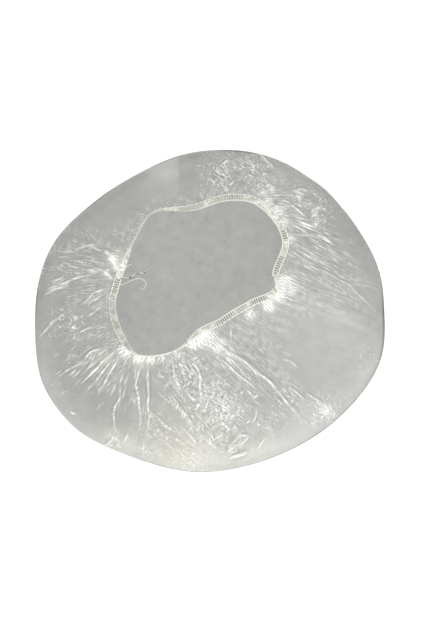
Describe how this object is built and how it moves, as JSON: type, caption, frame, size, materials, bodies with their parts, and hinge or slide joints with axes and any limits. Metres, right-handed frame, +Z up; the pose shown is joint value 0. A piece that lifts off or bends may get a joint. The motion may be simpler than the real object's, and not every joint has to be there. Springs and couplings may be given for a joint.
{
  "type": "shower cap",
  "caption": "Clear film shower cap lying on its crown, gathered by a sewn elastic hem round its opening, which lifts and stretches.",
  "frame": {"origin": "on the surface under the cap, at the middle of its outline", "axes": "+Z up out of the opening, +X along the longest way across the lying cap"},
  "size_m": [0.2899, 0.267, 0.0337],
  "materials": {
    "film": "clear crinkled polyethylene film",
    "elastic": "ribbed elastic strip",
    "thread": "cream polyester sewing thread"
  },
  "bodies": {
    "crown": {"film_crown": "film"},
    "hem": {"film_gathers": "film", "elastic_band": "elastic", "needle_thread": "thread", "upper_looper_thread": "thread", "lower_looper_thread": "thread"},
    "splice": {"elastic_splice": "elastic", "chain_tail": "thread", "loose_thread_end": "thread"}
  },
  "joints": [
    {"name": "hem_lift", "type": "slide", "parent": "crown", "child": "hem", "axis": [0, 0, 1], "range_m": [0, 0.045], "deforming": ["film_crown"]},
    {"name": "opening_stretch", "type": "slide", "parent": "hem", "child": "splice", "axis": [-1, 0, 0], "range_m": [0, 0.045], "stiffness_N_per_m": 40, "deforming": ["film_gathers", "elastic_band", "needle_thread", "upper_looper_thread", "lower_looper_thread"]}
  ]
}
